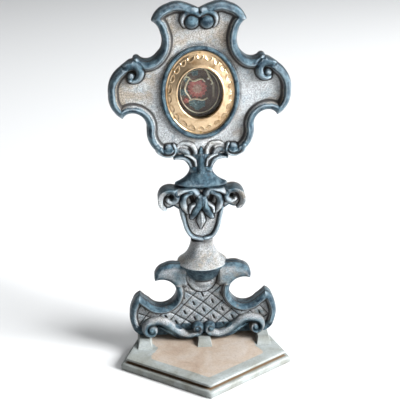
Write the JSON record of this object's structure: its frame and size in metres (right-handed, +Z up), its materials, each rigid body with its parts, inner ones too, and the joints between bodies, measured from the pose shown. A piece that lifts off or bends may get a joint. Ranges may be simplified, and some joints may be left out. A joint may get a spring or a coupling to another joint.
{
  "type": "monstrance",
  "caption": "Carved wooden reliquary monstrance: five-sided plinth, scrolled foot board, turned knop, acanthus node and lobed display board with a glazed oval window and a rear door.",
  "frame": {"origin": "centre of the five-sided plinth, on its underside", "axes": "+Z up, -Y the front with the window, +X to the right of someone facing the window"},
  "size_m": [0.1552, 0.1447, 0.3195],
  "materials": {
    "silver_leaf": "worn silver leaf on carved wood, warm brown rubs and fine grain",
    "blue_glaze": "dark steel-blue glaze over silver, worn on the edges",
    "plinth_paint": "aged silver-grey paint, rubbed to pinkish brown in the middle",
    "brass_sheet": "thin pressed brass, punched and slightly tarnished",
    "fitting_brass": "dull cast brass",
    "steel_wire": "drawn steel, dull",
    "clear_glass": "thin old window glass",
    "silk": "dark brown silk",
    "gilt_paper": "gilt-edged rolled paper",
    "red_wax": "sealing wax",
    "red_thread": "twisted silk thread",
    "plain_wood": "old unpainted poplar, oiled by handling"
  },
  "bodies": {
    "root": {"display_panel": "silver_leaf", "foot_panel": "silver_leaf", "stem_node": "silver_leaf", "neck_collar": "silver_leaf", "foot_scroll_left": "silver_leaf", "foot_scroll_right": "silver_leaf", "bell_knop": "silver_leaf", "window_ring": "blue_glaze", "plinth_lower_step": "plinth_paint", "plinth_upper_step": "plinth_paint", "foot_block_left": "plinth_paint", "foot_block_center": "plinth_paint", "foot_block_right": "plinth_paint", "brass_mat": "brass_sheet", "theca_case": "brass_sheet", "mat_pins": "fitting_brass", "hinge_leaf_board": "fitting_brass", "board_leaf_screws": "fitting_brass", "button_washer": "fitting_brass", "turn_button_screw": "fitting_brass", "relic_bead": "fitting_brass", "hinge_pin": "steel_wire", "plinth_screws": "steel_wire", "front_glass": "clear_glass", "silk_pad": "silk", "relic_disc": "red_wax", "silk_sprigs": "silk", "paper_filigree": "gilt_paper", "label_strip": "gilt_paper", "binding_thread": "red_thread", "wax_seal": "red_wax", "stem_dowel": "plain_wood"},
    "door": {"rear_door": "plain_wood", "hinge_leaf_door": "fitting_brass", "door_leaf_screws": "fitting_brass", "door_knob": "fitting_brass"},
    "button": {"turn_button": "fitting_brass"}
  },
  "joints": [
    {"name": "rear_door_hinge", "type": "hinge", "parent": "root", "child": "door", "pos_m": [-0.0255, 0.0288, 0.243], "axis": [0, 0, 1], "range_deg": [0, 165]},
    {"name": "turn_button_pivot", "type": "hinge", "parent": "root", "child": "button", "pos_m": [0.0295, 0.02815, 0.243], "axis": [0, 1, 0], "range_deg": [0, 90]}
  ]
}
